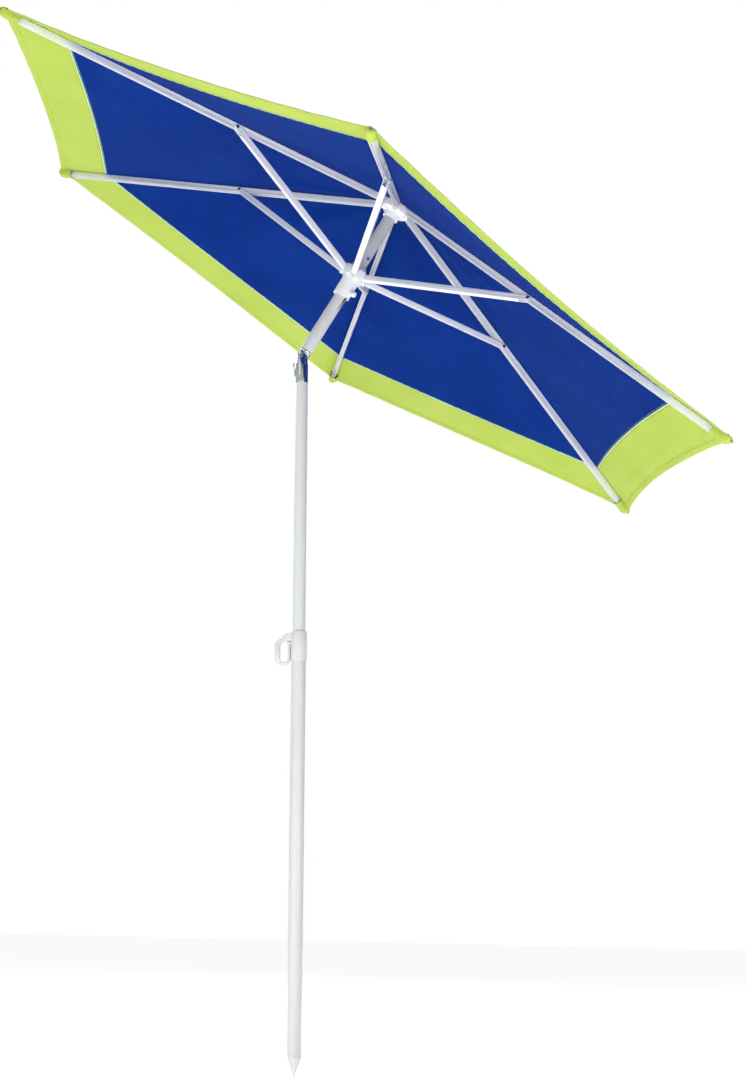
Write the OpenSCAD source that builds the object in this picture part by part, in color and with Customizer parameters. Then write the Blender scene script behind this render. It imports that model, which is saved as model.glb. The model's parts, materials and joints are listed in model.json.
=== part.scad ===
// Beach umbrella with a tilting, height-adjustable pole and a six-rib canopy.
// Origin at the point of the ground spike, +Z up the lower tube.
// The canopy leans towards +X; the tilt pin lies along Y.

/* [Pole] */
// Outer diameter of the lower tube
lower_d = 32; // [31.5:0.5:34]
// Outer diameter of the inner tube that slides in the lower tube
inner_d = 28; // [27:0.5:28.5]
// Outer diameter of the upper pole above the tilt joint
upper_d = 30; // [29:0.5:31]
// Wall of the three tubes
tube_wall = 1.2; // [1:0.1:1.4]
// Height of the ground spike's cone
spike_h = 38; // [30:1:60]
// Height of the clamp collar's lower edge
collar_z = 886; // [700:1:900]
// Height of the clamp collar
collar_h = 66; // [60:1:75]
// Height of the tilt pin above the spike's point
tilt_z = 1600; // [1550:1:1650]

/* [Tilt] */
// Lean of the upper pole at rest
tilt_angle = 31.4; // [20:0.1:35]
// Diameter of the tilt pin
tilt_pin_d = 6; // [5:0.5:7]

/* [Crown and runner] */
// Height of the rib pins above the tilt pin, along the upper pole
hub_rise = 424; // [400:1:450]
// Radius at which ribs and stays are pinned
pivot_r = 28; // [27:0.5:29]
// Radius of the crown hub
hub_r = 36; // [35:0.5:38]
// Radius of the runner's slotted head
runner_r = 34; // [33:0.5:36]
// Radius of the runner's sleeve
sleeve_r = 20.5; // [20:0.5:22]

/* [Ribs and stays] */
// Number of ribs
rib_count = 6; // [6:1:6]
// Turn of the first rib about the upper pole
canopy_turn = 40.7; // [0:0.1:60]
// Length from the rib's pin to the canopy's corner
rib_reach = 1008; // [950:1:1050]
// Slope of the ribs below the crown
rib_slope = 13.1; // [11:0.1:15]
// Length of a stay between its two pins
stay_len = 422; // [400:1:440]
// Width of a rib's channel
rib_w = 10.5; // [10:0.1:11]
// Depth of a rib's channel
rib_h = 14; // [13:0.5:15]
// Width of a stay's channel
stay_w = 13.5; // [13.3:0.1:14]
// Depth of a stay's channel
stay_h = 12.5; // [12:0.5:13]
// Wall of the rib and stay channels
channel_wall = 1; // [0.8:0.1:1.1]

/* [Canopy] */
// Thickness of the fabric solid
fabric_t = 2; // [1.5:0.5:2.5]
// Width of the border along a rib
border_w = 152; // [120:1:180]
// Depth of the hollow in each hem
hem_sweep = 30; // [10:1:45]
// Depth of the hollow in each border seam
seam_sweep = 18; // [5:1:25]

/* [Hidden] */
$fn = 64;

white_paint = [0.93, 0.94, 0.95];
white_plastic = [0.96, 0.96, 0.97];
chrome = [0.72, 0.74, 0.77];
dark_steel = [0.35, 0.36, 0.38];
dark_rubber = [0.15, 0.15, 0.16];
royal_blue = [0.09, 0.22, 0.58];
lime_green = [0.72, 0.85, 0.26];

fit_gap = 0.05;
lower_r = lower_d / 2;
lower_bore = lower_r - tube_wall;
inner_r = inner_d / 2;
inner_bore = inner_r - tube_wall;
upper_r = upper_d / 2;
upper_bore = upper_r - tube_wall;
collar_top = collar_z + collar_h;
collar_r = lower_r + 2;
shoulder = 0.3;
spigot = 40;
lever_x = -collar_r - 12;
lever_z = collar_top - 16;
lever_t = 10;
loop_w = 11;
inner_foot_z = 745;
fork_foot_z = tilt_z - 64;
fork_top_z = tilt_z - 18;
pin_head_y = 12.8;
pin_head_r = 4.6;
tongue_w = 13;
tongue_r = 11.5;
ear_r = 12;
pole_foot = 18;
runner_rise = hub_rise - 2 * stay_len * sin(rib_slope);
sleeve_drop = 60;
knob_drop = 45;
knob_turn = -20;
stop_rise = 279;
stop_turn = -45;
pin_r = 2;
rivet_r = 2.5;
rivet_play = 1.2;
slot_gap = 0.45;
ridge_gap = 1.3;
gore_slope = atan(tan(rib_slope) / cos(30));
apex_lift = (rib_h / 2 + ridge_gap) / cos(rib_slope) + pivot_r * tan(rib_slope);
washer_r = 34;
washer_under = apex_lift + fabric_t / cos(gore_slope) + 0.4;
fabric_inner_r = 26;
corner_r = pivot_r + rib_reach * cos(rib_slope) + 3;
border_start = border_w * cos(rib_slope);

// ---- frames ----

module upper_frame() translate([0, 0, tilt_z]) rotate([0, tilt_angle, 0]) children();

module runner_frame() upper_frame() translate([0, 0, runner_rise]) children();

module crown_frame() upper_frame() translate([0, 0, hub_rise]) children();

function rib_turn(i) = canopy_turn + 60 * (i - 1);

module rib_frame(i) crown_frame() rotate([0, 0, rib_turn(i)])
    translate([pivot_r, 0, 0]) rotate([0, rib_slope, 0]) children();

module stay_frame(i) runner_frame() rotate([0, 0, rib_turn(i)])
    translate([pivot_r, 0, 0]) rotate([0, -rib_slope, 0]) children();

// ---- shared shapes ----

// A tube standing on z
module tube(z, h, r, bore) translate([0, 0, z]) difference() {
    cylinder(h = h, r = r);
    translate([0, 0, -1]) cylinder(h = h + 2, r = bore);
}

// A round bar along Y, centred on the origin
module cross_bar(len, r) rotate([90, 0, 0]) cylinder(h = len, r = r, center = true);

// Six pins, one across each slot
module pin_ring(len) for (i = [1 : rib_count]) rotate([0, 0, rib_turn(i)])
    translate([pivot_r, 0, 0]) cross_bar(len, pin_r);

// Slots and pin holes for six arms of the given width
module arm_slots(width, slot_in, slot_low, slot_high) for (i = [1 : rib_count]) rotate([0, 0, rib_turn(i)]) {
    translate([slot_in, -width / 2, slot_low]) cube([40, width, slot_high - slot_low]);
    translate([pivot_r, 0, 0]) cross_bar(24, pin_r + fit_gap);
}

// ---- lower pole ----

module ground_spike() color(white_plastic) {
    difference() {
        union() {
            cylinder(h = spike_h, r1 = 1.2, r2 = lower_r - shoulder);
            translate([0, 0, spike_h]) cylinder(h = 3, r = lower_r - shoulder);
            translate([0, 0, spike_h + 3]) cylinder(h = 40, r = lower_bore - fit_gap);
        }
        translate([0, 0, spike_h + 8]) cylinder(h = 40, r = lower_bore - 3);
    }
}

module lower_tube() color(white_paint)
    tube(spike_h + 3, collar_z - spike_h - 3, lower_r, lower_bore);

// The collar caps the lower tube, and its spigot in the tube's mouth guides the inner tube
module clamp_collar() color(white_plastic) difference() {
    union() {
        translate([0, 0, collar_z - spigot]) cylinder(h = spigot + 1, r = lower_bore - fit_gap);
        translate([0, 0, collar_z]) cylinder(h = collar_h - 2, r = collar_r);
        translate([0, 0, collar_top - 2]) cylinder(h = 2, r1 = collar_r, r2 = collar_r - 1.5);
        for (side = [-1, 1]) translate([0, side * 8.2, 0]) {
            translate([lever_x, 0, lever_z]) cross_bar(5, 6.5);
            translate([lever_x, -2.5, lever_z - 6.5]) cube([20, 5, 17]);
        }
    }
    translate([0, 0, collar_z - spigot - 1]) cylinder(h = spigot + collar_h + 2, r = inner_r + fit_gap);
    translate([-collar_r - 3, -4.1, lever_z - 6.1]) cube([12, 8.2, 12.2]);
    translate([lever_x, 0, lever_z]) cross_bar(30, pin_r + fit_gap);
}

// The block that the lever's cam presses against the inner tube
module clamp_pad() color(dark_rubber) difference() {
    translate([-collar_r - 0.6, -4, lever_z - 6]) cube([8, 8, 12]);
    translate([0, 0, lever_z - 10]) cylinder(h = 20, r = inner_r + 0.3);
}

module clamp_lever_pin() color(chrome) translate([lever_x, 0, lever_z]) cross_bar(21, pin_r);

// A finger loop with a cam nose, hanging from its pin
module clamp_lever() color(white_plastic) translate([lever_x, 0, lever_z]) rotate([90, 0, 0]) difference() {
    linear_extrude(height = lever_t, center = true) {
        difference() {
            loop_plan(0);
            loop_plan(loop_w);
        }
        circle(r = 6);
        translate([0, -4]) square([10.6, 7]);
    }
    cylinder(h = 20, r = pin_r + fit_gap, center = true);
}

// The lever's oval, set in by a margin; the side against the collar is thinner
module loop_plan(margin) {
    r = 17.5 - margin * 0.75;
    shift = -6.5 + margin * 0.3;
    translate([shift, -17.5]) circle(r = r);
    translate([shift, -44.5]) circle(r = r);
    translate([shift - r, -44.5]) square([2 * r, 27]);
}

// ---- inner tube and tilt joint ----

module inner_tube() color(white_paint)
    tube(inner_foot_z, fork_foot_z - inner_foot_z, inner_r, inner_bore);

module inner_tube_bush() color(white_plastic) {
    translate([0, 0, inner_foot_z]) difference() {
        union() {
            translate([0, 0, -26]) cylinder(h = 25.9, r = lower_bore - fit_gap);
            translate([0, 0, -0.1]) cylinder(h = 20, r = inner_bore - fit_gap);
        }
        translate([0, 0, -27]) cylinder(h = 50, r = 9);
    }
}

// Lower half of the tilt joint: a plug in the inner tube and two ears
module tilt_fork() color(chrome) difference() {
    union() {
        translate([0, 0, fork_foot_z]) cylinder(h = fork_top_z - fork_foot_z, r = inner_r);
        translate([0, 0, fork_foot_z - 35]) cylinder(h = 36, r = inner_bore - fit_gap);
        intersection() {
            translate([0, 0, fork_top_z - 1]) cylinder(h = 40, r = inner_r);
            union() {
                translate([0, 0, tilt_z]) cross_bar(40, ear_r);
                translate([-ear_r, -20, fork_top_z - 1]) cube([2 * ear_r, 40, tilt_z - fork_top_z + 1]);
            }
        }
    }
    translate([-20, -tongue_w / 2 - 0.35, fork_top_z]) cube([40, tongue_w + 0.7, 60]);
    translate([0, 0, tilt_z]) cross_bar(40, tilt_pin_d / 2 + fit_gap);
    for (side = [-1, 1]) translate([0, side * (pin_head_y + 4.9), tilt_z])
        cross_bar(10, pin_head_r + fit_gap);
    translate([-inner_r - 1, -5, tilt_z - 50]) cube([17, 10, 26]);
}

module tilt_pin() color(dark_steel) translate([0, 0, tilt_z]) {
    cross_bar(27, tilt_pin_d / 2);
    for (side = [-1, 1]) translate([0, side * (pin_head_y + 0.8), 0]) cross_bar(1.6, pin_head_r);
}

// A sprung thumb button in the fork's back, pressed towards +X to free the tilt.
// A strip of plate folds out of it and stands off the fork.
module tilt_button() color(chrome) translate([-inner_r + 5, 0, tilt_z - 49.5]) rotate([90, 0, 0])
    linear_extrude(height = 9, center = true) polygon([
        [0, 0.3], [-6.6, 0.3], [-8.8, 7.3], [-8.8, 17.3], [-11.8, 27.3], [-10.4, 36.3], [-9.3, 36],
        [-10.5, 27.3], [-7.4, 17.9], [-5.5, 19], [-5.5, 24.7], [0, 24.7]
    ]);

module tilt_button_spring() color(dark_steel) translate([-inner_r + 5.1, 0, tilt_z - 37]) rotate([0, 90, 0])
    for (turn = [0 : 3]) translate([0, 0, turn * 1.5]) rotate_extrude()
        translate([3, 0.7]) circle(r = 0.6);

// ---- upper pole ----

// Upper half of the tilt joint: a tongue between the ears and a plug in the pole
module tilt_tongue() color(chrome) upper_frame() difference() {
    union() {
        cross_bar(tongue_w, tongue_r);
        intersection() {
            translate([-tongue_r, -tongue_w / 2, 0]) cube([2 * tongue_r, tongue_w, 14]);
            cylinder(h = 14, r = inner_r);
        }
        translate([0, 0, 13]) cylinder(h = pole_foot - 13, r = inner_r);
        translate([0, 0, pole_foot - 1]) cylinder(h = 36, r = upper_bore - fit_gap);
    }
    cross_bar(40, tilt_pin_d / 2 + fit_gap);
}

module upper_pole() color(white_paint) upper_frame() difference() {
    tube(pole_foot, hub_rise + 7 - pole_foot, upper_r, upper_bore);
    rotate([0, 0, stop_turn]) translate([0, 0, stop_rise]) rotate([0, 90, 0])
        cylinder(h = 20, r = pin_r + fit_gap);
    rotate([0, 0, knob_turn]) translate([upper_bore - 2, -2.6, runner_rise - sleeve_drop - 31])
        cube([10, 5.2, 33]);
}

// A rivet that stops the runner short of the crown
module runner_stop() color(dark_steel) upper_frame() rotate([0, 0, stop_turn])
    translate([0, 0, stop_rise]) rotate([0, 90, 0]) {
        translate([0, 0, upper_bore - 1]) cylinder(h = 2.5, r = pin_r);
        translate([0, 0, upper_r + 0.1]) cylinder(h = 2.2, r = 3.4);
    }

// A leaf spring that stands out of the pole under the runner's sleeve
module runner_catch() color(dark_steel) upper_frame() rotate([0, 0, knob_turn])
    translate([0, 0, runner_rise - sleeve_drop - 30.4]) rotate([90, 0, 0])
        linear_extrude(height = 4.4, center = true)
            polygon([
                [upper_bore - 3, 0], [upper_bore, 0], [upper_r + 5, 27.5], [upper_r + 5, 28.6],
                [upper_bore - 3, 30.5], [upper_bore - 3, 29], [upper_r + 3.6, 27.6], [upper_bore - 1.2, 1.6]
            ]);

// ---- crown ----

module crown_hub() color(white_plastic) crown_frame() difference() {
    union() {
        translate([0, 0, -12]) cylinder(h = 16, r = hub_r);
        translate([0, 0, -15]) cylinder(h = 3.1, r1 = hub_r - 4, r2 = hub_r);
        translate([0, 0, -30]) cylinder(h = 36, r = 19);
    }
    translate([0, 0, -40]) cylinder(h = 60, r = upper_r + fit_gap);
    arm_slots(rib_w + 2 * slot_gap, 20.4, -20, 10);
}

module crown_pins() color(dark_steel) crown_frame() pin_ring(19);

// Presses the canopy's crown down on the hub; its underside follows the ridges
module crown_washer() color(white_plastic) crown_frame() difference() {
    translate([0, 0, washer_under - washer_r * tan(rib_slope)]) {
        cylinder(h = 1.5, r = washer_r);
        translate([0, 0, 1.5]) cylinder(h = washer_r * tan(rib_slope) + 1, r1 = washer_r, r2 = 9);
    }
    translate([0, 0, washer_under - 100 * tan(rib_slope)])
        cylinder(h = 100 * tan(rib_slope), r1 = 100, r2 = 0);
    cylinder(h = 60, r = 6 + fit_gap);
}

// A screwed finial whose shank plugs the top of the pole
module crown_finial() color(white_plastic) crown_frame() {
    seat = washer_under + 2.7;
    translate([0, 0, -30]) cylinder(h = 36, r = upper_bore - fit_gap);
    cylinder(h = seat + 1, r = 6);
    translate([0, 0, seat]) cylinder(h = 4, r1 = 15, r2 = 13);
    translate([0, 0, seat + 4]) cylinder(h = 15, r1 = 13, r2 = 6);
    translate([0, 0, seat + 18]) sphere(r = 7.2);
}

// ---- runner ----

module runner() color(white_plastic) runner_frame() difference() {
    union() {
        translate([0, 0, -11]) cylinder(h = 22, r = runner_r);
        translate([0, 0, 11]) cylinder(h = 3, r1 = runner_r, r2 = runner_r - 3);
        translate([0, 0, 14]) cylinder(h = 9, r = 19);
        translate([0, 0, -sleeve_drop]) cylinder(h = sleeve_drop - 10, r = sleeve_r);
        rotate([0, 0, knob_turn]) translate([0, 0, -knob_drop]) rotate([0, 90, 0]) cylinder(h = 27, r = 7);
    }
    translate([0, 0, -sleeve_drop - 1]) cylinder(h = 100, r = upper_r + fit_gap);
    arm_slots(stay_w + 2 * slot_gap, 20.8, -20, 30);
    rotate([0, 0, knob_turn]) translate([0, 0, -knob_drop]) rotate([0, 90, 0]) {
        cylinder(h = 40, r = pin_r + fit_gap);
        translate([0, 0, 19]) cylinder(h = 5, r = 4);
    }
}

module runner_pins() color(dark_steel) runner_frame() pin_ring(20);

// A sprung pull pin in the sleeve
module runner_knob() color(white_plastic) runner_frame() rotate([0, 0, knob_turn])
    translate([0, 0, -knob_drop]) rotate([0, 90, 0]) {
        translate([0, 0, upper_r + 0.4]) cylinder(h = 14, r = pin_r);
        translate([0, 0, 27.4]) cylinder(h = 5, r = 6.5);
        translate([0, 0, 32.4]) cylinder(h = 1.4, r1 = 6.5, r2 = 5);
    }

module runner_knob_spring() color(dark_steel) runner_frame() rotate([0, 0, knob_turn])
    translate([0, 0, -knob_drop]) rotate([0, 90, 0])
        for (turn = [0 : 2]) translate([0, 0, 20 + turn * 1.4]) rotate_extrude()
            translate([3.1, 0]) circle(r = 0.5);

// ---- ribs ----

module rib(i) color(white_paint) rib_frame(i) {
    end = rib_reach - 14;
    difference() {
        union() {
            translate([0, -rib_w / 2, -rib_h / 2]) cube([end, rib_w, rib_h]);
            cross_bar(rib_w, rib_h / 2);
        }
        translate([-10, -rib_w / 2 + channel_wall, -rib_h / 2 - 1])
            cube([end + 20, rib_w - 2 * channel_wall, rib_h + 1 - channel_wall]);
        cross_bar(20, pin_r + fit_gap);
        translate([stay_len, 0, 0]) cross_bar(20, rivet_r + rivet_play);
    }
}

// A plug with a ball nose that the canopy's corner pocket hooks over
module rib_tip(i) color(white_plastic) rib_frame(i) translate([rib_reach - 14, 0, 0]) {
    inner_w = rib_w - 2 * channel_wall - 2 * fit_gap;
    translate([-24, -inner_w / 2, -rib_h / 2]) cube([24.1, inner_w, rib_h - channel_wall - fit_gap]);
    translate([0.05, -rib_w / 2, -rib_h / 2]) cube([4, rib_w, rib_h]);
    translate([8, 0, 0]) sphere(r = 5.5);
}

// ---- stays ----

module stay(i) color(white_paint) stay_frame(i) difference() {
    union() {
        translate([0, -stay_w / 2, -stay_h / 2]) cube([stay_len, stay_w, stay_h]);
        cross_bar(stay_w, stay_h / 2);
        translate([stay_len, 0, 0]) cross_bar(stay_w, stay_h / 2);
    }
    translate([-10, -stay_w / 2 + channel_wall, -stay_h / 2 + channel_wall])
        cube([stay_len + 20, stay_w - 2 * channel_wall, stay_h]);
    translate([stay_len - 22, -stay_w / 2 + channel_wall, -stay_h / 2 - 1])
        cube([40, stay_w - 2 * channel_wall, stay_h]);
    cross_bar(20, pin_r + fit_gap);
    translate([stay_len, 0, 0]) cross_bar(20, rivet_r + fit_gap);
}

module stay_rivet(i) color(chrome) stay_frame(i) translate([stay_len, 0, 0]) {
    cross_bar(stay_w + 0.4, rivet_r);
    for (side = [-1, 1]) translate([0, side * (stay_w / 2 + 0.8), 0]) cross_bar(1.5, 4.2);
}

// ---- canopy ----

// Half of a hollow edge, from a corner at the given reach on a rib to the middle of the gore
function hollow_edge(reach, sweep) = [for (step = [0 : 8]) let (
    along = reach / 2 * (1 - step / 8),
    out = reach * cos(30) - sweep * (1 - pow(2 * along / reach, 2))
) [out * cos(30) + along * sin(30), out * sin(30) - along * cos(30)]];

// Plan of the fabric on one side of a rib, out to the middle of the gore
module half_gore_plan() polygon(concat(
    [[fabric_inner_r * cos(30), fabric_inner_r * sin(30)], [fabric_inner_r, 0]],
    hollow_edge(corner_r, hem_sweep)
));

// Plan of everything inside the border seam
module inside_seam_plan() polygon(concat(
    [[-10, 10], [-10, 0]],
    hollow_edge(corner_r - border_start, seam_sweep)
));

// Both flat halves of the fabric that lies on one rib, with a plan cut from them
module fabric(i) crown_frame() rotate([0, 0, rib_turn(i)]) for (side = [0, 1]) mirror([0, side, 0])
    intersection() {
        translate([0, 0, -400]) linear_extrude(height = 500) children();
        translate([0, 0, apex_lift]) rotate([0, 0, 30]) rotate([0, gore_slope, 0])
            translate([-100, -1500, 0]) cube([1500, 3000, fabric_t]);
    }

module canopy_panel(i) color(royal_blue) fabric(i) intersection() {
    half_gore_plan();
    inside_seam_plan();
}

module canopy_border(i) color(lime_green) fabric(i) difference() {
    half_gore_plan();
    inside_seam_plan();
}

ground_spike();
lower_tube();
clamp_collar();
clamp_pad();
clamp_lever();
clamp_lever_pin();
inner_tube();
inner_tube_bush();
tilt_fork();
tilt_pin();
tilt_button();
tilt_button_spring();
tilt_tongue();
upper_pole();
runner_stop();
runner_catch();
crown_hub();
crown_pins();
crown_washer();
crown_finial();
runner();
runner_pins();
runner_knob();
runner_knob_spring();
for (i = [1 : rib_count]) {
    rib(i);
    rib_tip(i);
    stay(i);
    stay_rivet(i);
    canopy_panel(i);
    canopy_border(i);
}
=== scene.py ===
import json
from math import cos, pi, radians, sin, tan

import bmesh
import bpy
import numpy as np
from mathutils import Matrix, Vector


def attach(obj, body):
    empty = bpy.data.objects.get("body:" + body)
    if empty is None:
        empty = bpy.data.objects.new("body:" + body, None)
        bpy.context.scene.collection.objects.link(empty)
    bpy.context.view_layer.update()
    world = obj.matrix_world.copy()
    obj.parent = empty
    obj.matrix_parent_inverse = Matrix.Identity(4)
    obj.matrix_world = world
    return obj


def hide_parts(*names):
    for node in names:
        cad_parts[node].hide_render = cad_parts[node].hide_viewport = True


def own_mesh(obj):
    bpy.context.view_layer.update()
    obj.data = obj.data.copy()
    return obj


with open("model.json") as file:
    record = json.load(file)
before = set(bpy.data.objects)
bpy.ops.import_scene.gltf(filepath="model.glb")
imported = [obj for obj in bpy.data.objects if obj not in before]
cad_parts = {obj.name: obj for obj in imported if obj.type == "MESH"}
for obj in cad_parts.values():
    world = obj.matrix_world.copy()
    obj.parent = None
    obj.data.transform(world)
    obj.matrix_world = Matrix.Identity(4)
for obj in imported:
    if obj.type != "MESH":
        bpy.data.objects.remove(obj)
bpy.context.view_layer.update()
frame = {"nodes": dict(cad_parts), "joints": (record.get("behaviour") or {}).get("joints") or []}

# ---- Camera ----
# It stands low, a little to the right of the pole, and looks up under the canopy.
# Its place is on a ring around the pole, with a small step to the left.
camera_ring, camera_height, camera_step = 3.77, 0.314, 0.155
swing, pitch, roll = radians(10.771), radians(13.648), radians(1.221)
level = Vector((cos(swing), sin(swing), 0))
look = Vector((-sin(swing) * cos(pitch), cos(swing) * cos(pitch), sin(pitch)))
rise = level.cross(look)
lens = bpy.data.cameras.new("camera")
lens.lens = 56.6
lens.shift_x = 0.1296
lens.shift_y = -0.0278
camera = bpy.data.objects.new("camera", lens)
camera.matrix_world = Matrix(
    (cos(roll) * level + sin(roll) * rise, cos(roll) * rise - sin(roll) * level, -look)
).transposed().to_4x4()
camera.matrix_world.translation = (
    Vector((camera_ring * sin(swing), -camera_ring * cos(swing), camera_height)) - camera_step * level
)
bpy.context.scene.collection.objects.link(camera)
bpy.context.scene.camera = camera

# ---- Studio light ----
# A white room, brighter on the left and in front than on the right and behind.
# One soft box stands high on the left, two low ones light the canopy's hollow, and two light its outside.
bpy.context.scene.view_settings.view_transform = "Standard"
world = bpy.data.worlds.new("white_room")
bpy.context.scene.world = world
world.use_nodes = True
room = world.node_tree
room.nodes.clear()
room_out = room.nodes.new("ShaderNodeOutputWorld")
room_mix = room.nodes.new("ShaderNodeMixShader")
room_seen = room.nodes.new("ShaderNodeBackground")
room_lit = room.nodes.new("ShaderNodeBackground")
room_path = room.nodes.new("ShaderNodeLightPath")
room_seen.inputs["Color"].default_value = (1, 1, 1, 1)
room_way = room.nodes.new("ShaderNodeTexCoord")
room_side = room.nodes.new("ShaderNodeVectorMath")
room_side.operation = "DOT_PRODUCT"
bright_side = (-0.62, -0.74, 0.25)
room_side.inputs[1].default_value = bright_side
room_ramp = room.nodes.new("ShaderNodeMapRange")
room_ramp.interpolation_type = "SMOOTHSTEP"
for socket, number in zip(("From Min", "From Max", "To Min", "To Max"), (-0.75, 0.45, 0.03, 0.56)):
    room_ramp.inputs[socket].default_value = number
room_lit.inputs["Color"].default_value = (0.94, 0.97, 1, 1)
room.links.new(room_way.outputs["Generated"], room_side.inputs[0])
room.links.new(room_side.outputs["Value"], room_ramp.inputs["Value"])
room.links.new(room_ramp.outputs["Result"], room_lit.inputs["Strength"])
room.links.new(room_path.outputs["Is Camera Ray"], room_mix.inputs["Fac"])
room.links.new(room_lit.outputs[0], room_mix.inputs[1])
room.links.new(room_seen.outputs[0], room_mix.inputs[2])
room.links.new(room_mix.outputs[0], room_out.inputs["Surface"])


def soft_box(name, place, aim, size, power, colour):
    lamp = bpy.data.lights.new(name, "AREA")
    lamp.shape = "RECTANGLE"
    lamp.size, lamp.size_y = size
    lamp.energy = power
    lamp.color = colour
    holder = bpy.data.objects.new(name, lamp)
    holder.location = place
    holder.rotation_euler = (Vector(aim) - Vector(place)).to_track_quat("-Z", "Y").to_euler()
    holder.visible_camera = False
    bpy.context.scene.collection.objects.link(holder)


soft_box("key_left", (-2.6, -3.2, 3.2), (0, 0, 1.3), (2.4, 2.4), 17, (1, 0.98, 0.95))
soft_box("fill_low", (-0.6, -1.5, 0.4), (0.15, 0, 2), (2, 1.6), 19, (1, 0.99, 0.98))
soft_box("fill_right", (1.3, -1.4, 0.7), (0.3, 0, 1.8), (1.2, 1), 10, (1, 0.99, 0.98))
soft_box("back_right", (2.6, 3.2, 3.8), (0, 0, 2), (2.4, 2.4), 150, (1, 1, 1))
soft_box("back_left", (-2.8, 2.6, 3.9), (0, 0, 2), (2.4, 2.4), 110, (1, 1, 1))

# ---- Floor ----
# A wide pale sheet of studio floor under the spike.
# It glows a little, so that it meets the white room softly; it isn't part of the umbrella.
floor_half = 30
floor_mesh = bpy.data.meshes.new("floor")
floor_mesh.from_pydata(
    [(x * floor_half, y * floor_half, 0) for x, y in ((-1, -1), (1, -1), (1, 1), (-1, 1))], [], [(0, 1, 2, 3)]
)
floor = bpy.data.objects.new("floor", floor_mesh)
bpy.context.scene.collection.objects.link(floor)
floor_paint = bpy.data.materials.new("floor_paint")
floor_paint.use_nodes = True
floor_shader = floor_paint.node_tree.nodes["Principled BSDF"]
floor_shader.inputs["Base Color"].default_value = (0.93, 0.93, 0.93, 1)
floor_shader.inputs["Roughness"].default_value = 0.9
floor_shader.inputs["Emission Color"].default_value = (1, 1, 1, 1)
floor_shader.inputs["Emission Strength"].default_value = 0.6
floor_mesh.materials.append(floor_paint)

# ---- Ground spike ----
# A moulded plastic point with a plug, driven into the end of the lower tube.
# It has a mould skin, a little sand haze, and edges rounded by use.


def finish_base(name, colour, roughness, metallic=0.0):
    """A new material with its shader's constant values set."""
    made = bpy.data.materials.new(name)
    made.use_nodes = True
    shader = made.node_tree.nodes["Principled BSDF"]
    shader.inputs["Base Color"].default_value = (*colour, 1)
    shader.inputs["Roughness"].default_value = roughness
    shader.inputs["Metallic"].default_value = metallic
    return made, made.node_tree, shader


def grain(tree, scale, stretch=(1, 1, 1), detail=4.0, rough=0.55, source="Object"):
    """Noise over the piece's own place, in metres."""
    place = tree.nodes.new("ShaderNodeTexCoord")
    stretched = tree.nodes.new("ShaderNodeMapping")
    stretched.inputs["Scale"].default_value = stretch
    noise = tree.nodes.new("ShaderNodeTexNoise")
    noise.inputs["Scale"].default_value = scale
    noise.inputs["Detail"].default_value = detail
    noise.inputs["Roughness"].default_value = rough
    tree.links.new(place.outputs[source], stretched.inputs["Vector"])
    tree.links.new(stretched.outputs["Vector"], noise.inputs["Vector"])
    return noise.outputs["Fac"]


def spread(tree, value, low, high, to_low, to_high):
    """Takes a value from one range to another."""
    remap = tree.nodes.new("ShaderNodeMapRange")
    for socket, number in zip(("From Min", "From Max", "To Min", "To Max"), (low, high, to_low, to_high)):
        remap.inputs[socket].default_value = number
    tree.links.new(value, remap.inputs["Value"])
    return remap.outputs["Result"]


def tint(tree, value, first, second):
    """A colour between two, by a value."""
    mix = tree.nodes.new("ShaderNodeMix")
    mix.data_type = "RGBA"
    mix.inputs["A"].default_value = (*first, 1)
    mix.inputs["B"].default_value = (*second, 1)
    tree.links.new(value, mix.inputs["Factor"])
    return mix.outputs["Result"]


def relief(tree, shader, value, strength, depth, under=None):
    """Bump from a height in metres."""
    bump = tree.nodes.new("ShaderNodeBump")
    bump.inputs["Strength"].default_value = strength
    bump.inputs["Distance"].default_value = depth
    tree.links.new(value, bump.inputs["Height"])
    if under is not None:
        tree.links.new(under, bump.inputs["Normal"])
    tree.links.new(bump.outputs["Normal"], shader.inputs["Normal"])
    return bump.outputs["Normal"]


def moulded_plastic(name, clean, soiled):
    made, tree, shader = finish_base(name, clean, 0.4)
    haze = spread(tree, grain(tree, 28, detail=5), 0.42, 0.75, 0, 1)
    tree.links.new(tint(tree, haze, clean, soiled), shader.inputs["Base Color"])
    tree.links.new(spread(tree, grain(tree, 90), 0.3, 0.7, 0.34, 0.5), shader.inputs["Roughness"])
    skin = relief(tree, shader, grain(tree, 1400, detail=2), 0.25, 0.00012)
    relief(tree, shader, grain(tree, 60, detail=3), 0.3, 0.0006, skin)
    shader.inputs["Subsurface Weight"].default_value = 0.06
    shader.inputs["Subsurface Radius"].default_value = (0.004, 0.004, 0.004)
    shader.inputs["Subsurface Scale"].default_value = 1.0
    return made


white_plastic = moulded_plastic("white_moulded_plastic", (0.73, 0.735, 0.745), (0.64, 0.645, 0.64))
# Painted shade: a darker copy of the white plastic for the spike, collar and lever, which stand in the most
# light, low by the floor.
painted_shade_plastic = moulded_plastic("painted_shade_white_plastic", (0.57, 0.57, 0.585), (0.5, 0.5, 0.5))


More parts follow.
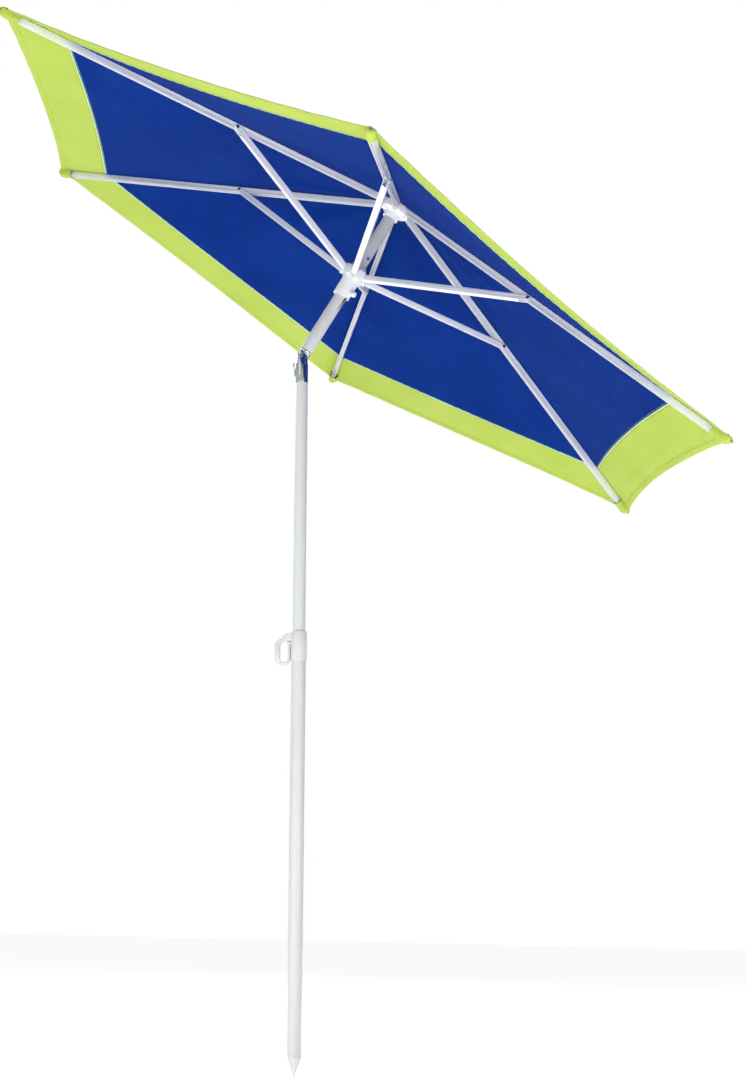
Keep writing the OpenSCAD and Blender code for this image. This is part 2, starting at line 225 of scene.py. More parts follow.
def eased(node, name, body, material, width, crease=35, rim=None):
    """A copy of a CAD node with its triangles joined and its edges rounded, which stands for the node.
    A rim is a centre, an axis, how far out it starts, and the larger rounding of the edges past that."""
    shell = bmesh.new()
    shell.from_mesh(frame["nodes"][node].data)
    bmesh.ops.remove_doubles(shell, verts=shell.verts, dist=2e-6)
    bmesh.ops.dissolve_limit(
        shell, angle_limit=radians(0.6), verts=shell.verts, edges=shell.edges, delimit={"NORMAL"}
    )
    if rim:
        centre, axis, reach, widest = rim
        weights = shell.edges.layers.float.new("bevel_weight_edge")
        for edge in shell.edges:
            if len(edge.link_faces) == 2 and edge.calc_face_angle() > radians(crease):
                outward = [(v.co - centre) - axis * (v.co - centre).dot(axis) for v in edge.verts]
                edge[weights] = 1 if min(step.length for step in outward) > reach else width / widest
    mesh = bpy.data.meshes.new(name)
    shell.to_mesh(mesh)
    shell.free()
    mesh.materials.clear()
    mesh.materials.append(material)
    for face in mesh.polygons:
        face.material_index = 0
        face.use_smooth = True
    piece = bpy.data.objects.new(name, mesh)
    bpy.context.scene.collection.objects.link(piece)
    if width:
        easing = piece.modifiers.new("eased_edges", "BEVEL")
        easing.width = rim[3] if rim else width
        easing.segments = 4 if rim else 2
        easing.limit_method = "WEIGHT" if rim else "ANGLE"
        easing.angle_limit = radians(crease)
        easing.use_clamp_overlap = True
        easing.harden_normals = False
    return solid(piece, name, body, crease, (node,))


def solid(piece, name, body, crease=35, stands_for=()):
    """Applies what is on the piece, shades it smooth up to an angle, and fixes it on its body."""
    depsgraph = bpy.context.evaluated_depsgraph_get()
    made = bpy.data.meshes.new_from_object(piece.evaluated_get(depsgraph))
    piece.modifiers.clear()
    piece.data = made
    made.name = name
    if "sharp_face" in made.attributes:
        made.attributes.remove(made.attributes["sharp_face"])
    made.set_sharp_from_angle(angle=radians(crease))
    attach(piece, body)
    if stands_for:
        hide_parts(*stands_for)
    return piece


eased("ground_spike", "spike_point", "lower_pole", painted_shade_plastic, 0.0008)

# ---- Lower tube ----
# A white enamelled steel tube, 32 mm across, with the spike driven into its lower end.
# The enamel is sprayed and baked: it has a faint orange peel, and dull spots where hands rub it.


def enamelled_steel(name, fresh, rubbed, streak):
    made, tree, shader = finish_base(name, fresh, 0.3)
    rub = spread(tree, grain(tree, 22, streak, detail=6, rough=0.65), 0.46, 0.78, 0, 1)
    tree.links.new(tint(tree, rub, fresh, rubbed), shader.inputs["Base Color"])
    tree.links.new(spread(tree, grain(tree, 70, streak), 0.3, 0.7, 0.24, 0.42), shader.inputs["Roughness"])
    peel = relief(tree, shader, grain(tree, 520, detail=2), 0.22, 0.00015)
    relief(tree, shader, grain(tree, 1500, (1, 1, 0.08), detail=3), 0.12, 0.0001, peel)
    shader.inputs["Coat Weight"].default_value = 0.25
    shader.inputs["Coat Roughness"].default_value = 0.18
    return made


pole_enamel = enamelled_steel("pole_white_enamel", (0.565, 0.57, 0.58), (0.5, 0.505, 0.51), (1, 1, 0.15))
eased("lower_tube", "lower_tube_enamelled", "lower_pole", pole_enamel, 0)

# ---- Clamp ----
# A moulded collar whose spigot is pressed into the tube's mouth, and a finger lever on a steel pin.
# The lever's cam presses a rubber pad on the inner tube.
eased("clamp_collar", "collar_moulding", "lower_pole", painted_shade_plastic, 0.0007)
eased("clamp_lever", "lever_moulding", "clamp_lever", painted_shade_plastic, 0.0014)

rubber, rubber_tree, rubber_shader = finish_base("black_pad_rubber", (0.03, 0.03, 0.032), 0.75)
relief(rubber_tree, rubber_shader, grain(rubber_tree, 900), 0.4, 0.0003)
rubber_tree.links.new(
    tint(rubber_tree, grain(rubber_tree, 60), (0.02, 0.02, 0.022), (0.07, 0.07, 0.07)),
    rubber_shader.inputs["Base Color"],
)


def refinish(node, material):
    """A CAD node that shows as it is, with its finish changed."""
    mesh = frame["nodes"][node].data
    mesh.materials.clear()
    mesh.materials.append(material)


refinish("clamp_pad", rubber)


def metal(name, bright, dull, smooth, coarse, streak):
    made, tree, shader = finish_base(name, bright, smooth, 1.0)
    worn = grain(tree, 160, streak, detail=6, rough=0.6)
    patches = spread(tree, worn, 0.35, 0.75, 0, 1)
    tree.links.new(tint(tree, patches, bright, dull), shader.inputs["Base Color"])
    tree.links.new(spread(tree, worn, 0.3, 0.75, smooth, coarse), shader.inputs["Roughness"])
    relief(tree, shader, grain(tree, 700, streak, detail=3), 0.2, 0.00015)
    return made


bright_steel = metal("bright_plated_steel", (0.7, 0.71, 0.73), (0.45, 0.46, 0.48), 0.07, 0.22, (1, 1, 0.2))
pin_steel = metal("dull_pin_steel", (0.3, 0.3, 0.31), (0.16, 0.15, 0.15), 0.3, 0.55, (1, 1, 1))
eased("clamp_lever_pin", "lever_pin_turned", "lower_pole", bright_steel, 0.0003)

# ---- Inner tube and tilt fork ----
# A thinner enamelled steel tube that slides in the lower one, guided by a plastic bush.
# The plated steel fork is plugged in its top, with a riveted pin through its ears,
# and a sprung thumb button with a folded strip of plate in its back.
slide_enamel = enamelled_steel("slide_white_enamel", (0.58, 0.59, 0.6), (0.5, 0.505, 0.51), (1, 1, 0.03))
eased("inner_tube", "inner_tube_enamelled", "inner_tube", slide_enamel, 0)
refinish("inner_tube_bush", white_plastic)
eased("tilt_fork", "tilt_fork_plated", "inner_tube", bright_steel, 0.0008)
eased("tilt_pin", "tilt_pin_riveted", "inner_tube", pin_steel, 0.0007)
eased("tilt_button", "tilt_button_plated", "tilt_button", bright_steel, 0.0003, 12)
refinish("tilt_button_spring", pin_steel)

# ---- Upper pole ----
# The plated tongue swings between the fork's ears and plugs the enamelled upper pole.
# A rivet head stops the runner, and a leaf catch stands out of a slot to hold it up.
eased("tilt_tongue", "tilt_tongue_plated", "upper_pole", bright_steel, 0.0008)
eased("upper_pole", "upper_pole_enamelled", "upper_pole", pole_enamel, 0)
eased("runner_stop", "runner_stop_head", "upper_pole", pin_steel, 0.0005)
refinish("runner_catch", pin_steel)

# ---- Runner ----
# A slotted plastic moulding that slides on the upper pole, with a steel pin across each slot.
# A sprung pull knob in its sleeve lets it off the catch. Its lobes are well rounded.
joints = {joint["name"]: joint for joint in frame["joints"]}
pole_up = -Vector(joints["runner_slide"]["axis"]).normalized()
pins = [Vector(joints[f"rib_{k}_hinge"]["pos_m"]) for k in range(1, 7)]
crown = sum(pins, Vector()) / 6
eased(
    "runner", "runner_moulding", "runner", white_plastic, 0.0006,
    rim=(crown, pole_up, 0.029, 0.0034),
)
eased("runner_pins", "runner_pins_turned", "runner", pin_steel, 0.0003)
eased("runner_knob", "runner_knob_moulding", "runner_knob", white_plastic, 0.0008)
refinish("runner_knob_spring", pin_steel)

# ---- Crown hub ----
# A slotted plastic moulding fixed at the top of the pole, with well rounded lobes.
# It holds the six ribs on steel pins.
# Painted light: the hub's plastic is a lighter copy of the white plastic, against the shade in the canopy's
# hollow.
hub_painted_light_plastic = moulded_plastic("hub_painted_light_white_plastic", (0.93, 0.925, 0.945), (0.84, 0.84, 0.85))
eased(
    "crown_hub", "hub_moulding", "upper_pole", hub_painted_light_plastic, 0.0006,
    rim=(crown, pole_up, 0.031, 0.0038),
)
eased("crown_pins", "hub_pins_turned", "upper_pole", pin_steel, 0.0003)

# ---- Stays ----
# Six enamelled steel channels, folded from strip, that push the ribs out from the runner.
# A plated rivet joins each one to its rib.
arm_enamel = enamelled_steel("arm_white_enamel", (0.72, 0.73, 0.765), (0.6, 0.61, 0.645), (0.3, 0.3, 0.3))
for k in range(1, 7):
    eased(f"stay_{k}", f"stay_{k}_channel", f"stay_{k}", arm_enamel, 0.0004)
    eased(f"stay_rivet_{k}", f"stay_{k}_rivet", f"stay_{k}", bright_steel, 0.0004)

# ---- Ribs ----
# Six enamelled steel channels, folded from strip, that carry the cloth.
# Each one is closed by a plastic plug with a ball nose, which sits in the cloth's corner pocket.
for k in range(1, 7):
    eased(f"rib_{k}", f"rib_{k}_channel", f"rib_{k}", arm_enamel, 0.0004)
    eased(f"rib_tip_{k}", f"rib_{k}_plug", f"rib_{k}", white_plastic, 0.0005)

# ---- Canopy cloth ----
# Six gores of woven blue cloth with a lime border sewn on, each half gore riding on its nearest rib.
# The cloth hangs a little between the ribs, gathers in soft folds at the crown, and puckers along its seams.
slope = radians(13.1)
gore_fall = tan(slope) / cos(pi / 6)
pin_out = (pins[0] - crown).length
cloth_over_rib = 0.0083
apex = cloth_over_rib / cos(slope) + pin_out * tan(slope)
rib_reach, corner_slack, border_deep = 1.008, 0.003, 0.152
hem_hollow, seam_hollow = 0.03, 0.018
corner_out = pin_out + rib_reach * cos(slope) + corner_slack
hem_line = (corner_out * cos(pi / 6), corner_out / 2, hem_hollow)
seam_out = corner_out - border_deep * cos(slope)
seam_line = (seam_out * cos(pi / 6), seam_out / 2, seam_hollow)
blue_lift, green_lift, cloth_thick = 0.0008, 0.0014, 0.00045
crown_hole, lap, lap_reach, lap_lift = 0.026, 0.0036, 0.4, 0.0002


def rib_space(k):
    """Out along the rib, across it and up the pole, from the crown."""
    out = (pins[k - 1] - crown).normalized()
    return Matrix.Translation(crown) @ Matrix((out, pole_up.cross(out), pole_up)).transposed().to_4x4()


def half_gores(k):
    """The half gores that ride on rib k: each one's side of the rib, and its gore."""
    return (1, k), (-1, (k - 2) % 6 + 1)


def cloth_height(p, q, gore):
    """Height of the cloth at p out along the gore's middle line and q across it, with its sag and folds."""
    half = np.maximum(p * tan(pi / 6), 1e-6)
    free = np.clip(1 - (q / half) ** 2, 0, 1)
    to_rib = np.maximum(half - np.abs(q), 0) * cos(pi / 6)
    phase = 1.7 * gore
    turn = np.arctan2(q, p)
    reach = np.hypot(p, q)
    sag = 0.013 * np.clip(p / hem_line[0], 0, 1) ** 1.3 * free
    folds = 0.0024 * np.exp(-(((p - 0.15) / 0.1) ** 2)) * np.cos(11 * turn + phase)
    folds += 0.0013 * np.exp(-(((p - 0.3) / 0.16) ** 2)) * np.cos(17 * turn - 2.1 * phase)
    folds += 0.0018 * np.exp(-(((p - 0.6) / 0.2) ** 2)) * np.sin(21 * p + 5 * q + phase)
    folds += 0.001 * np.exp(-(((p - hem_line[0] + 0.04) / 0.05) ** 2)) * np.sin(150 * p + 3 * q + 2 * phase)
    near_corner = np.exp(-(((reach - corner_out) / 0.16) ** 2)) * np.abs(q) / 0.5
    folds += 0.0012 * near_corner * np.sin(70 * turn + phase)
    pleat = 0.28 * np.sin(2.3 * gore + 1)
    folds -= 0.0095 * np.exp(-(((turn - pleat) / 0.085) ** 2) - ((p - 0.24) / 0.095) ** 2)
    pucker = 0.0005 * np.exp(-to_rib / 0.014) * np.sin(reach * 230 + 3 * np.sin(31 * reach + phase))
    from_seam = p - edge_out(q, *seam_line)
    pucker += 0.0004 * np.exp(-((from_seam / 0.012) ** 2)) * np.sin(250 * q + 2 * np.sin(37 * q + phase))
    return apex - gore_fall * p - sag + np.sqrt(free) * folds + pucker


def on_cloth(p, q, side, gore, lift):
    """Points in rib space at p, q of a half gore, lift above the cloth's lowest layer."""
    x = p * cos(pi / 6) + q * sin(pi / 6)
    y = side * (p * sin(pi / 6) - q * cos(pi / 6))
    return np.stack(np.broadcast_arrays(x, y, cloth_height(p, side * q, gore) + lift), -1)


def on_ridge(x, y, k, lift):
    """Points in rib space at x along rib k and y across it."""
    near, far = cos(pi / 6), sin(pi / 6)
    p, q = x * near + np.abs(y) * far, x * far - np.abs(y) * near
    right, left = (cloth_height(p, side * q, gore) for side, gore in half_gores(k))
    return np.stack(np.broadcast_arrays(x, y, np.where(y >= 0, right, left) + lift), -1)


def edge_out(q, middle, half, hollow):
    """How far out a hollow edge is at q from the gore's middle line."""
    return middle - hollow * (1 - (q / half) ** 2)


def edge_at(share, line):
    """Where the ray at a share of the half gore's width meets a hollow edge."""
    p = np.full_like(share, line[0])
    for _ in range(30):
        p = edge_out(share * p * tan(pi / 6), *line)
    return p


def sewn(name, points, faces, uvs, material, k):
    """A mesh from points in rib space, with the cloth's own lengths as its UV map."""
    mesh = bpy.data.meshes.new(name)
    place = np.array(rib_space(k))
    points = np.asarray(points, float).reshape(-1, 3) @ place[:3, :3].T + place[:3, 3]
    mesh.from_pydata(points.tolist(), [], faces)
    layer = mesh.uv_layers.new(name="cloth")
    corners = np.empty(len(mesh.loops), np.int32)
    mesh.loops.foreach_get("vertex_index", corners)
    flat = np.asarray(uvs, np.float32).reshape(-1, 2)
    layer.data.foreach_set("uv", flat[corners].ravel())
    mesh.materials.append(material)
    mesh.shade_smooth()
    piece = bpy.data.objects.new(name, mesh)
    bpy.context.scene.collection.objects.link(piece)
    return piece


def net(rows, columns, start=0, flip=False, closed=False):
    """Quads of a grid of points; closed joins its last column to its first."""
    quads = []
    for row in range(rows - 1):
        for column in range(columns if closed else columns - 1):
            after = (column + 1) % columns
            low, high = start + row * columns, start + (row + 1) * columns
            quad = (low + column, low + after, high + after, high + column)
            quads.append(quad[::-1] if flip else quad)
    return quads


def woven(name, deep, pale, yarn):
    """Plain weave on the cloth's own lengths, with a softly uneven dye and a faint crease relief."""
    made, tree, shader = finish_base(name, deep, 0.85)
    uv = tree.nodes.new("ShaderNodeUVMap")
    uv.uv_map = "cloth"
    weave = tree.nodes.new("ShaderNodeMath")
    weave.operation = "MULTIPLY"
    for socket, direction in enumerate("XY"):
        threads = tree.nodes.new("ShaderNodeTexWave")
        threads.bands_direction = direction
        threads.inputs["Scale"].default_value = 0.31416 / yarn
        threads.inputs["Distortion"].default_value = 0.6
        threads.inputs["Detail"].default_value = 1
        tree.links.new(uv.outputs["UV"], threads.inputs["Vector"])
        tree.links.new(threads.outputs["Fac"], weave.inputs[socket])
    tone = tree.nodes.new("ShaderNodeMath")
    tone.operation = "ADD"
    tree.links.new(spread(tree, grain(tree, 6, detail=4), 0.3, 0.7, 0, 0.6), tone.inputs[0])
    tree.links.new(spread(tree, weave.outputs[0], 0, 1, 0, 0.3), tone.inputs[1])
    tree.links.new(tint(tree, tone.outputs[0], deep, pale), shader.inputs["Base Color"])
    tree.links.new(spread(tree, grain(tree, 35), 0.3, 0.7, 0.78, 0.92), shader.inputs["Roughness"])
    fine = relief(tree, shader, weave.outputs[0], 0.35, 0.0002)
    relief(tree, shader, grain(tree, 45, detail=3), 0.3, 0.001, fine)
    shader.inputs["Sheen Weight"].default_value = 0.006
    shader.inputs["Sheen Roughness"].default_value = 0.5
    shader.inputs["Specular IOR Level"].default_value = 0.03
    return made


blue_cloth = woven("blue_woven_cloth", (0.0006, 0.018, 0.158), (0.002, 0.0285, 0.212), 0.0006)
green_cloth = woven("green_woven_cloth", (0.352, 0.453, 0.072), (0.418, 0.52, 0.106), 0.0006)


def follow_rib(piece):
    """Cloth can't turn with two ribs at once; this gives the piece its own copy of its mesh."""
    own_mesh(piece)
    return piece


def sector_sheet(name, k, inner, outer, rows, columns, lift, material, node):
    """Cloth on both sides of a rib between two edges, with its flat width, length and area.
    One side laps over its neighbour near the crown, so the gore stays closed as the ribs fold."""
    share = np.linspace(1, 0, columns)
    step = np.linspace(0, 1, rows)[:, None]
    grids, faces = [], []
    for side, gore in half_gores(k):
        p = inner(share) * (1 - step) + outer(share) * step
        last = (share == 0) & (side > 0)
        q = share * p * tan(pi / 6) - last * lap * np.exp(-((p / lap_reach) ** 2))
        faces += net(rows, columns, len(grids) * rows * columns, flip=side > 0)
        grids.append(on_cloth(p, q, side, gore, lift + lap_lift * last))
    grids = np.array(grids)
    flat = np.stack([grids[..., 0] / cos(slope), grids[..., 1]], -1)
    piece = sewn(name, grids, faces, flat, material, k)
    joined = bmesh.new()
    joined.from_mesh(piece.data)
    bmesh.ops.remove_doubles(joined, verts=joined.verts, dist=1e-6)
    area = sum(face.calc_area() for face in joined.faces)
    joined.to_mesh(piece.data)
    joined.free()
    wall = piece.modifiers.new("cloth_thickness", "SOLIDIFY")
    wall.thickness = cloth_thick
    wall.offset = 1
    solid(piece, name, f"rib_{k}", 60, (node,))
    return follow_rib(piece), (float(np.ptp(flat[..., 1])), float(np.ptp(flat[..., 0]))), area


gore_cloths, border_cloths = {}, {}
for k in range(1, 7):
    gore_cloths[k] = sector_sheet(
        f"canopy_{k}_blue_cloth", k,
        lambda share: np.full_like(share, crown_hole), lambda share: edge_at(share, seam_line) + 0.001,
        120, 52, blue_lift, blue_cloth, f"canopy_panel_{k}",
    )
    border_cloths[k] = sector_sheet(
        f"canopy_{k}_green_cloth", k,
        lambda share: edge_at(share, seam_line) - 0.004, lambda share: edge_at(share, hem_line) - 0.001,
        28, 84, green_lift, green_cloth, f"canopy_border_{k}",
    )

# ---- Seams, hems and crown patch ----
# The border is felled on with a pale overlocked edge below, the hem is turned and stitched,
# each rib has a felled seam over it, and a round patch is sewn on the crown.
pale_seam = woven("pale_overlock_thread", (0.4, 0.62, 0.42), (0.62, 0.82, 0.66), 0.0009)


def edge_band(name, k, line, ring, material, columns=70):
    """A strip along both half edges of a sector; ring is its section, as outward and upward distances."""
    out, lift = np.array(ring).T
    share = np.linspace(1, 0, columns)
    points, faces, uvs = [], [], []
    for side, gore in half_gores(k):
        p = edge_at(share, line)[:, None]
        q = share[:, None] * p * tan(pi / 6)
        lean = 2 * line[2] * q / line[1] ** 2
        length = np.sqrt(1 + lean**2)
        start = len(points) * columns * len(ring)
        points.append(on_cloth(p + out / length, q - out * lean / length, side, gore, lift))
        faces += net(columns, len(ring), start, flip=side > 0, closed=True)
        near = [start + n for n in range(len(ring))]
        far = [n + (columns - 1) * len(ring) for n in near]
        faces += [near, far[::-1]] if side > 0 else [near[::-1], far]
        uvs.append(np.stack(np.broadcast_arrays(q, np.cumsum(np.abs(out)) / 2), -1))
    piece = sewn(name, np.array(points), faces, np.array(uvs), material, k)
    return follow_rib(solid(piece, name, f"rib_{k}", 50))


def ridge_band(name, k, start_out, stop_out, ring, material, rows=120):
    """A strip along a rib; ring is its section, as sideways and upward distances."""
    across, lift = np.array(ring).T
    x = np.linspace(start_out, stop_out, rows)[:, None]
    points = on_ridge(x, across[None, :], k, lift)
    faces = net(rows, len(ring), closed=True)
    faces += [[*range(len(ring))][::-1], [(rows - 1) * len(ring) + n for n in range(len(ring))]]
    uvs = np.stack(np.broadcast_arrays(x, np.cumsum(np.abs(across)) / 2), -1)
    piece = sewn(name, points, faces, uvs, material, k)
    return follow_rib(solid(piece, name, f"rib_{k}", 50))


hem_ring = [
    (-0.0125, 0.0008), (-0.0116, 0.0003), (-0.001, 0.0002), (0.0006, 0.0005), (0.001, 0.0013),
    (0.0006, 0.0021), (-0.001, 0.0024), (-0.0116, 0.0024), (-0.0125, 0.0019),
]
overlock_ring = [
    (-0.0013, 0.0008), (-0.0009, 0), (0, -0.0003), (0.0009, 0), (0.0013, 0.0008), (0, 0.0012),
]
fell_ring = [
    (-0.0062, 0.0014), (-0.006, 0.0019), (-0.0052, 0.0023),
    (0.0052, 0.0025), (0.006, 0.0022), (0.0062, 0.0016),
]
ridge_ring = [
    (-0.0064, 0.0012), (-0.0062, 0.0019), (-0.0054, 0.0024), (-0.0008, 0.0026), (0.0008, 0.0026),
    (0.0054, 0.0024), (0.0062, 0.0019), (0.0064, 0.0012), (0.002, 0.001), (-0.002, 0.001),
]
below_ring = [
    (-0.0074, 0.0007), (-0.0072, 0.0001), (-0.0062, -0.0003), (0, -0.0003),
    (0.0062, -0.0003), (0.0072, 0.0001), (0.0074, 0.0007), (0.002, 0.0009), (-0.002, 0.0009),
]


def patch_sheet(name, k, radius, lift, thick, material):
    """A round patch over the crown, as far as one sector of it."""
    rows, columns = 14, 25
    rho = np.linspace(crown_hole, radius, rows)[:, None]
    turn = np.linspace(-pi / 6, pi / 6, columns)[None, :]
    last = turn == turn.max()
    turn = turn + last * lap / rho
    low = on_ridge(rho * np.cos(turn), rho * np.sin(turn), k, lift + lap_lift * last)
    piece = sewn(name, low, net(rows, columns), low[..., :2], material, k)
    wall = piece.modifiers.new("patch_thickness", "SOLIDIFY")
    wall.thickness = thick
    wall.offset = 1
    return follow_rib(solid(piece, name, f"rib_{k}", 50))


patch_radius, patch_lift, patch_thick = 0.078, 0.0013, 0.0006
ridge_start, turning_start = 0.03, 0.045
sewn_parts = {}
for k in range(1, 7):
    sewn_parts[k] = {
        "blue": [
            patch_sheet(
                f"canopy_{k}_crown_patch", k, patch_radius, patch_lift, patch_thick, blue_cloth
            ),
            ridge_band(
                f"canopy_{k}_blue_rib_seam", k, ridge_start, seam_out, ridge_ring, blue_cloth
            ),
            ridge_band(
                f"canopy_{k}_blue_seam_turning", k, turning_start, seam_out, below_ring, blue_cloth,
            ),
        ],
        "green": [
            edge_band(f"canopy_{k}_border_fell", k, seam_line, fell_ring, green_cloth),
            edge_band(f"canopy_{k}_border_overlock", k, seam_line, overlock_ring, pale_seam),
            edge_band(f"canopy_{k}_hem", k, hem_line, hem_ring, green_cloth),
            ridge_band(
                f"canopy_{k}_green_rib_seam", k, seam_out, corner_out - 0.003, ridge_ring, green_cloth,
                30,
            ),
        ],
    }

# ---- Corner pockets ----
# A sleeve of border cloth at each corner, sewn under the cloth, that hooks over the rib's ball nose.
# A small knot of waxed thread closes the point.
rib_place = Matrix.Translation((pin_out, 0, 0)) @ Matrix.Rotation(slope, 4, "Y")
pocket_mouth, pocket_turn, pocket_end = 0.966, 0.993, 1.0107
pocket_wide, pocket_deep, pocket_flange, pocket_thick = 0.011, 0.0153, 0.0045, 0.0006


def pocket_section(x):
    """Points across the pocket at x along the rib: a flange, the arch under the rib, and a flange."""
    past = max(0.0, (x - pocket_turn) / (pocket_end - pocket_turn))
    close = max(0.0, 1 - past**2.6) ** (1 / 2.6)
    rim = 0.0007 * np.exp(-(((x - pocket_mouth - 0.002) / 0.0025) ** 2))
    wide, deep = (pocket_wide + rim) * close, (pocket_deep + rim) * close
    flange = min(pocket_flange, max(0.0002, (pocket_end - x) * 1.1))
    turn = np.linspace(0, pi, 21)
    y = wide * np.sign(np.cos(turn)) * np.abs(np.cos(turn)) ** 0.7
    z = -deep * np.sin(turn) ** 0.7
    y = np.concatenate([[wide + flange], y, [-wide - flange]])
    z = np.concatenate([[0], z, [0]]) + cloth_over_rib - 0.134 * wide - 0.0006
    return np.stack([np.full_like(y, x), y, z], -1)


knot_wax, knot_tree, knot_shader = finish_base("waxed_knot_thread", (0.16, 0.25, 0.03), 0.45)
relief(knot_tree, knot_shader, grain(knot_tree, 900, (1, 1, 4)), 0.6, 0.0004)
knot_tree.links.new(
    tint(knot_tree, grain(knot_tree, 300), (0.1, 0.16, 0.02), (0.26, 0.36, 0.06)),
    knot_shader.inputs["Base Color"],
)
knot_radius, knot_place = 0.0036, (1.0118, 0, 0.0045)
stations = np.concatenate(
    [np.linspace(pocket_mouth, pocket_turn, 16)[:-1], np.linspace(pocket_turn, pocket_end, 14)]
)
for k in range(1, 7):
    rows = np.array([pocket_section(x) for x in stations])
    uvs = rows[..., :2].copy()
    turned = np.array(rib_place)
    points = rows.reshape(-1, 3) @ turned[:3, :3].T + turned[:3, 3]
    pocket = sewn(f"canopy_{k}_corner_pocket", points, net(*rows.shape[:2]), uvs, green_cloth, k)
    wall = pocket.modifiers.new("pocket_cloth", "SOLIDIFY")
    wall.thickness = pocket_thick
    wall.offset = 0
    sewn_parts[k]["green"].append(
        follow_rib(solid(pocket, pocket.name, f"rib_{k}", 50))
    )
    ball = bmesh.new()
    bmesh.ops.create_icosphere(ball, subdivisions=3, radius=knot_radius)
    for vert in ball.verts:
        vert.co *= 1 + 0.1 * sin(2600 * vert.co.x + 1.5 * sin(900 * vert.co.y))
        vert.co.z *= 0.8
    bmesh.ops.transform(
        ball, matrix=rib_space(k) @ rib_place @ Matrix.Translation(knot_place), verts=ball.verts
    )
    knot_mesh = bpy.data.meshes.new(f"canopy_{k}_corner_knot")
    ball.to_mesh(knot_mesh)
    ball.free()
    knot_mesh.materials.append(knot_wax)
    knot_mesh.shade_smooth()
    knot = bpy.data.objects.new(knot_mesh.name, knot_mesh)
    bpy.context.scene.collection.objects.link(knot)
    sewn_parts[k]["green"].append(solid(knot, knot.name, f"rib_{k}", 60))

# ---- Stitches ----
# Lockstitch rows of polyester thread through the hems, seams, pockets and crown patch.
# One node tree lays every row: it spaces beads along a line, a little uneven in length.
stitcher = bpy.data.node_groups.new("lockstitch_row", "GeometryNodeTree")
stitch_inputs = {}
stitcher.interface.new_socket("Geometry", in_out="INPUT", socket_type="NodeSocketGeometry")
for label, kind in (
    ("Spacing", "Float"), ("Stitch length", "Float"), ("Thread width", "Float"), ("Seam depth", "Float"),
    ("Thread", "Material"),
):
    stitch_inputs[label] = stitcher.interface.new_socket(
        label, in_out="INPUT", socket_type=f"NodeSocket{kind}"
    ).identifier
stitcher.interface.new_socket("Geometry", in_out="OUTPUT", socket_type="NodeSocketGeometry")
stitch_spacing, stitch_length, thread_width, seam_depth = 0.0046, 0.0037, 0.0008, 0.0038


def stitch_node(kind, **settings):
    made = stitcher.nodes.new(kind)
    for name, value in settings.items():
        setattr(made, name, value)
    return made


row_in, row_out = stitch_node("NodeGroupInput"), stitch_node("NodeGroupOutput")
to_curve = stitch_node("GeometryNodeMeshToCurve")
spaced = stitch_node("GeometryNodeResampleCurve", mode="LENGTH")
facing = stitch_node("GeometryNodeInputNamedAttribute", data_type="FLOAT_VECTOR")
facing.inputs["Name"].default_value = "face_up"
along = stitch_node("GeometryNodeInputTangent")
turned_to = stitch_node("FunctionNodeAxesToRotation", primary_axis="X", secondary_axis="Z")
bead = stitch_node("GeometryNodeMeshIcoSphere")
bead.inputs["Radius"].default_value = 0.5
bead.inputs["Subdivisions"].default_value = 1
sized = stitch_node("ShaderNodeCombineXYZ")
uneven = stitch_node("FunctionNodeRandomValue", data_type="FLOAT")
uneven.inputs[2].default_value = 0.85
uneven.inputs[3].default_value = 1.12
uneven.inputs["Seed"].default_value = 7
stretch = stitch_node("ShaderNodeVectorMath", operation="SCALE")
laid = stitch_node("GeometryNodeInstanceOnPoints")
realised = stitch_node("GeometryNodeRealizeInstances")
threaded = stitch_node("GeometryNodeSetMaterial")
for source, target in (
    (row_in.outputs["Geometry"], to_curve.inputs["Mesh"]),
    (to_curve.outputs["Curve"], spaced.inputs["Curve"]),
    (row_in.outputs["Spacing"], spaced.inputs["Length"]),
    (along.outputs["Tangent"], turned_to.inputs["Primary Axis"]),
    (facing.outputs["Attribute"], turned_to.inputs["Secondary Axis"]),
    (row_in.outputs["Stitch length"], sized.inputs["X"]),
    (row_in.outputs["Thread width"], sized.inputs["Y"]),
    (row_in.outputs["Seam depth"], sized.inputs["Z"]),
    (sized.outputs["Vector"], stretch.inputs["Vector"]),
    (uneven.outputs["Value"], stretch.inputs["Scale"]),
    (spaced.outputs["Curve"], laid.inputs["Points"]),
    (bead.outputs["Mesh"], laid.inputs["Instance"]),
    (turned_to.outputs["Rotation"], laid.inputs["Rotation"]),
    (stretch.outputs["Vector"], laid.inputs["Scale"]),
    (laid.outputs["Instances"], realised.inputs["Geometry"]),
    (realised.outputs["Geometry"], threaded.inputs["Geometry"]),
    (row_in.outputs["Thread"], threaded.inputs["Material"]),
    (threaded.outputs["Geometry"], row_out.inputs["Geometry"]),
):
    stitcher.links.new(source, target)


def sewing_thread(name, dark, light):
    made, tree, shader = finish_base(name, dark, 0.5)
    tree.links.new(tint(tree, grain(tree, 700), dark, light), shader.inputs["Base Color"])
    relief(tree, shader, grain(tree, 2500, (1, 1, 3)), 0.5, 0.0001)
    return made


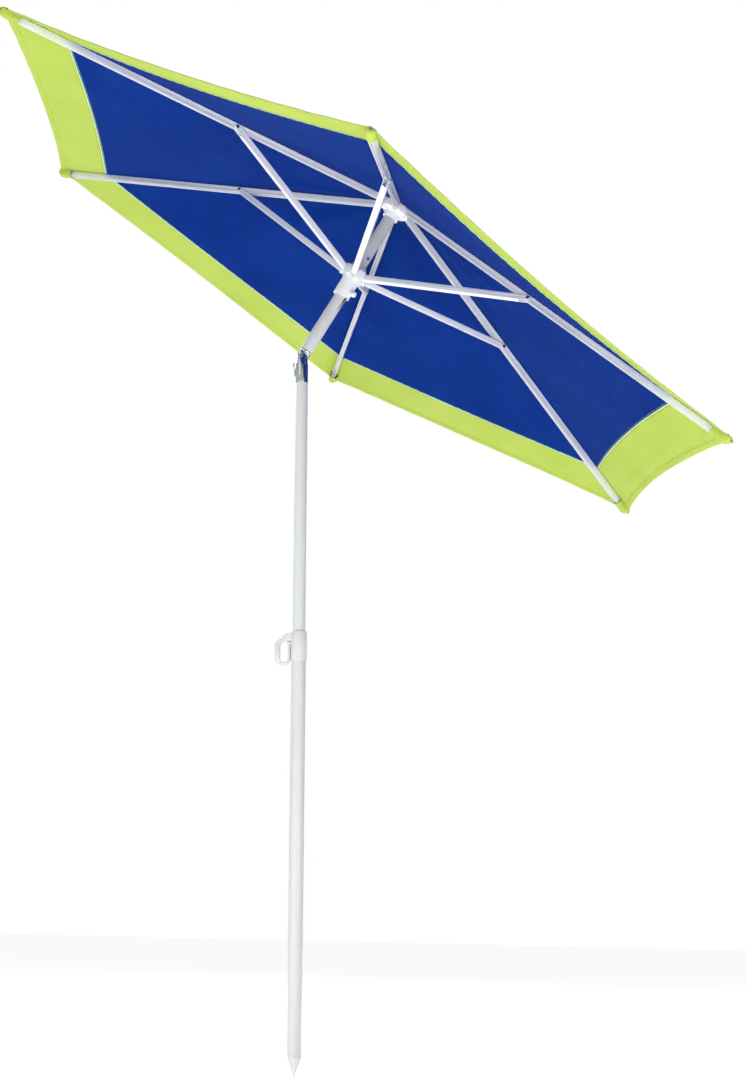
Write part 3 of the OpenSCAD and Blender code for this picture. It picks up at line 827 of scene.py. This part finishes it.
def stitch_rows(name, k, rows, thread):
    """Rows of stitches along lines in rib space, as one plain mesh on the rib."""
    place = np.array(rib_space(k))
    lines = [np.asarray(row, float) @ place[:3, :3].T + place[:3, 3] for row in rows]
    mesh = bpy.data.meshes.new(name)
    edges, start = [], 0
    for line in lines:
        edges += [(start + n, start + n + 1) for n in range(len(line) - 1)]
        start += len(line)
    mesh.from_pydata(np.concatenate(lines).tolist(), edges, [])
    up = mesh.attributes.new("face_up", "FLOAT_VECTOR", "POINT")
    up.data.foreach_set("vector", np.tile(np.array(pole_up, np.float32), start))
    piece = bpy.data.objects.new(name, mesh)
    bpy.context.scene.collection.objects.link(piece)
    sewing = piece.modifiers.new("lockstitch", "NODES")
    sewing.node_group = stitcher
    for label, value in (
        ("Spacing", stitch_spacing), ("Stitch length", stitch_length), ("Thread width", thread_width),
        ("Seam depth", seam_depth), ("Thread", thread),
    ):
        sewing[stitch_inputs[label]] = value
    return follow_rib(solid(piece, name, f"rib_{k}", 60))


def edge_row(k, line, out, count=90):
    """Lines along both half edges of a sector, out from the edge."""
    rows = []
    share = np.linspace(0.985, 0, count)
    for side, gore in half_gores(k):
        p = edge_at(share, line)
        q = share * p * tan(pi / 6)
        lean = 2 * line[2] * q / line[1] ** 2
        length = np.sqrt(1 + lean**2)
        rows.append(on_cloth(p + out / length, q - out * lean / length, side, gore, 0.001))
    return rows


blue_thread = sewing_thread("blue_sewing_thread", (0.012, 0.05, 0.28), (0.04, 0.11, 0.42))
green_thread = sewing_thread("green_sewing_thread", (0.38, 0.52, 0.07), (0.52, 0.66, 0.14))
seam_row, hem_row, fell_row, pocket_row, stitch_lift = 0.0042, -0.0102, 0.004, 0.0135, 0.0011
patch_rows = (0.0745, 0.042)
for k in range(1, 7):
    blue_rows = [
        on_ridge(np.linspace(0.082, seam_out - 0.004, 220), np.full(220, side * seam_row), k, stitch_lift)
        for side in (1, -1)
    ]
    turn = np.linspace(-pi / 6, pi / 6, 30)
    blue_rows += [on_ridge(r * np.cos(turn), r * np.sin(turn), k, stitch_lift) for r in patch_rows]
    green_rows = edge_row(k, hem_line, hem_row)
    green_rows += edge_row(k, seam_line, fell_row) + edge_row(k, seam_line, -fell_row)
    green_rows += [
        on_ridge(np.linspace(seam_out, corner_out - 0.06, 30), np.full(30, side * seam_row), k, stitch_lift)
        for side in (1, -1)
    ]
    green_rows += [
        on_ridge(
            np.linspace(corner_out - 0.056, corner_out - 0.016, 20), np.full(20, side * pocket_row), k, 0.0008
        )
        for side in (1, -1)
    ]
    sewn_parts[k]["blue"].append(
        stitch_rows(f"canopy_{k}_blue_stitches", k, blue_rows, blue_thread)
    )
    sewn_parts[k]["green"].append(
        stitch_rows(f"canopy_{k}_green_stitches", k, green_rows, green_thread)
    )

# ---- Crown washer and finial ----
# A moulded plastic washer presses the cloth on the hub.
# The turned plastic finial above it is screwed into the pole's top.
eased("crown_washer", "washer_moulding", "upper_pole", white_plastic, 0.0004)
eased("crown_finial", "finial_moulding", "upper_pole", white_plastic, 0.0008)
